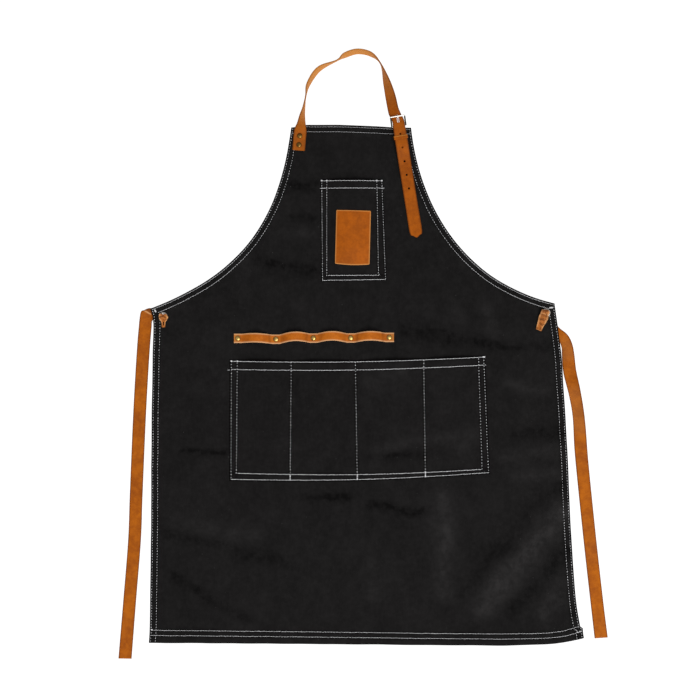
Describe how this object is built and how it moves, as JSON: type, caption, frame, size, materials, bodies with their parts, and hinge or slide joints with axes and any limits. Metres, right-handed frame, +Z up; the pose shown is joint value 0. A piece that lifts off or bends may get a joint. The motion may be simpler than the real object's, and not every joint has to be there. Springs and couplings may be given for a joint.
{
  "type": "gardening apron",
  "caption": "Denim bib apron laid flat, with patch pockets, a riveted leather tool strip, a buckled leather neck strap and leather waist ties through eyelets.",
  "frame": {"origin": "centre of the outline box of the laid apron, on the floor that it lies on", "axes": "+X to the right as the front is seen, +Y toward the neck, +Z up out of the front"},
  "size_m": [0.7582, 0.943, 0.0202],
  "materials": {
    "denim": "matt black cotton denim",
    "leather": "tan oiled leather with dark edges",
    "brass": "antique brass",
    "nickel": "polished nickel"
  },
  "bodies": {
    "root": {"apron_panel": "denim", "chest_pocket": "denim", "lower_pocket": "denim", "leather_patch": "leather", "tool_loop_strap": "leather", "loop_rivet_1": "brass", "loop_rivet_2": "brass", "loop_rivet_3": "brass", "loop_rivet_4": "brass", "loop_rivet_5": "brass", "neck_strap": "leather", "neck_rivet_1": "brass", "neck_rivet_2": "brass", "buckle_tab": "leather", "tab_rivet": "brass", "buckle_frame": "nickel", "buckle_prong": "nickel", "strap_keeper": "leather", "eyelet_left": "nickel", "eyelet_right": "nickel", "left_tie": "leather", "right_tie": "leather"}
  },
  "joints": []
}
